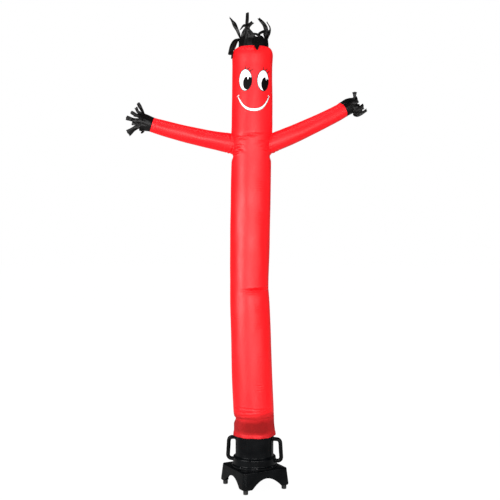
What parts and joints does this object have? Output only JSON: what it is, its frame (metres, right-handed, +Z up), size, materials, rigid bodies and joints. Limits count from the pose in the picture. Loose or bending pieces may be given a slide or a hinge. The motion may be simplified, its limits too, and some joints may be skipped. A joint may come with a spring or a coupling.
{
  "type": "inflatable air dancer on a fan blower",
  "caption": "Tall slim inflatable tube figure with raised arms, a smiling face and streamer hair, standing on a square fan blower with grab handles.",
  "frame": {"origin": "on the floor under the middle of the whole object's box; the blower's axis stands at x 0.0476 m, y 0", "axes": "+Z up the tube, the face looks to -Y, the arms reach to -X and +X"},
  "size_m": [1.8381, 0.5214, 3.6147],
  "materials": {
    "nylon_red": "satin",
    "nylon_black": "satin",
    "face_white": "satin",
    "face_black": "satin",
    "plastic_black": "satin",
    "rubber_black": "matte",
    "motor_metal": "satin"
  },
  "bodies": {
    "root": {"body_tube": "nylon_red", "arm_left": "nylon_red", "upper_arm_right": "nylon_red", "forearm_right": "nylon_red", "hair_fringe": "nylon_black", "hand_fringe_left": "nylon_black", "hand_fringe_right": "nylon_black", "eye_white_left": "face_white", "eye_white_right": "face_white", "pupil_left": "face_black", "pupil_right": "face_black", "smile": "face_white", "blower_base": "plastic_black", "blower_drum": "plastic_black", "handle_left": "plastic_black", "handle_right": "plastic_black", "foot_front": "rubber_black", "foot_right": "rubber_black", "foot_back": "rubber_black", "foot_left": "rubber_black", "cord_gland": "rubber_black", "fan_motor": "motor_metal", "inlet_guard": "motor_metal"}
  },
  "joints": []
}
